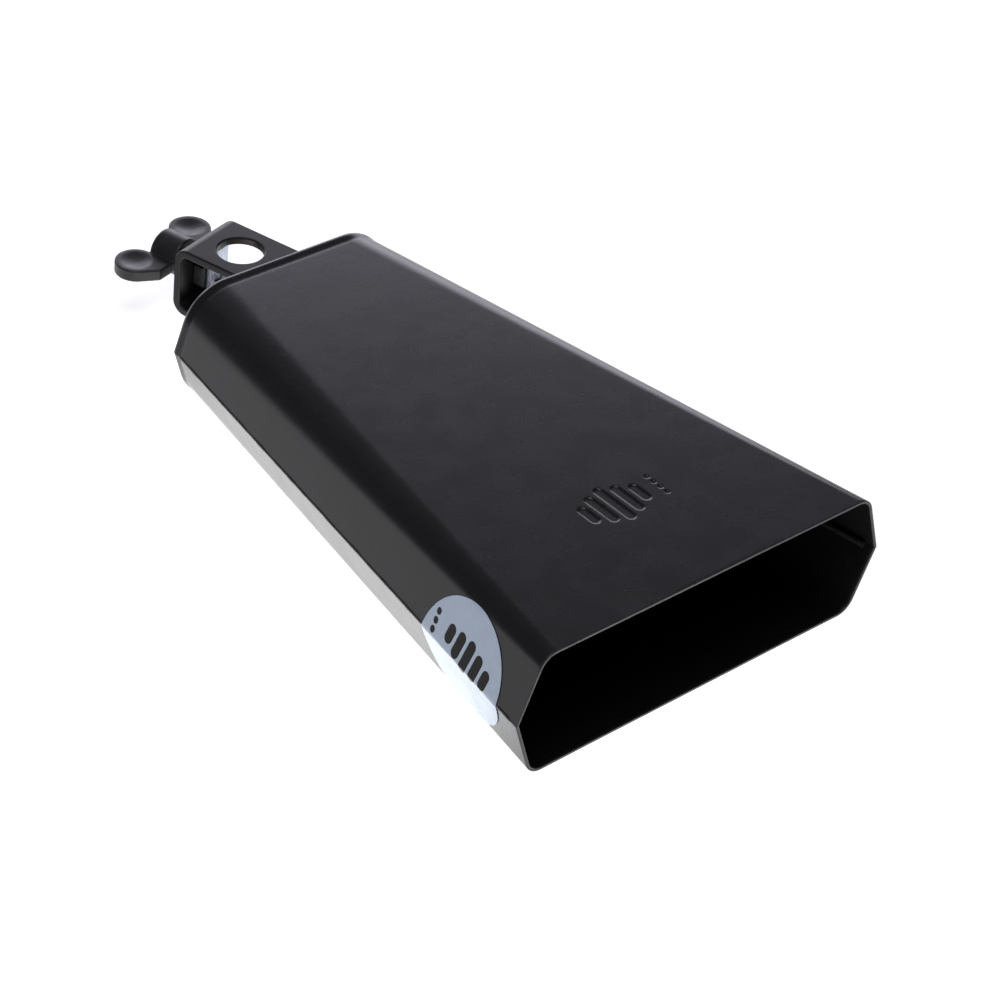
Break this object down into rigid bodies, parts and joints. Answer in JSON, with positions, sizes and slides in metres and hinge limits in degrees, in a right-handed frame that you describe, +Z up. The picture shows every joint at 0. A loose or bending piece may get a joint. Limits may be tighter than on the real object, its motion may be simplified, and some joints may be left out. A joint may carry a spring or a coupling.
{
  "type": "cowbell",
  "caption": "Black powder-coated steel cowbell of welded half-shells, with a bent-strap rod clamp and a wing screw at the closed end.",
  "frame": {"origin": "on the resting plane, under the middle of the bell's length and width", "axes": "+Z up from the rest face, +Y along the bell from the mouth towards the clamp, +X across the bell"},
  "size_m": [0.157, 0.2823, 0.047],
  "materials": {
    "powder_coat": "satin",
    "weld": "satin",
    "label": "gloss",
    "zinc": "satin",
    "moulded": "matte"
  },
  "bodies": {
    "bell": {"upper_shell": "powder_coat", "lower_shell": "powder_coat", "seam_weld_left": "weld", "seam_weld_right": "weld", "seam_weld_end": "weld", "round_label": "label", "clamp_bracket": "powder_coat", "bracket_weld_upper": "weld", "bracket_weld_lower": "weld", "weld_nut": "weld"},
    "plate_slider": {"pressure_plate": "zinc"},
    "wing_screw": {"clamp_screw": "zinc", "wing_head": "moulded"}
  },
  "joints": [
    {"name": "clamp_travel", "type": "slide", "parent": "bell", "child": "plate_slider", "axis": [0.2571, -0.9664, 0], "range_m": [0, 0.005]},
    {"name": "wing_screw_turn", "type": "hinge", "parent": "plate_slider", "child": "wing_screw", "pos_m": [-0.00723, 0.15245, 0.02275], "axis": [0.2571, -0.9664, 0], "range_deg": [0, 1440]}
  ],
  "couplings": [
    {"joint": "clamp_travel", "follows": "wing_screw_turn", "m_per_rad": 0.00019894}
  ]
}
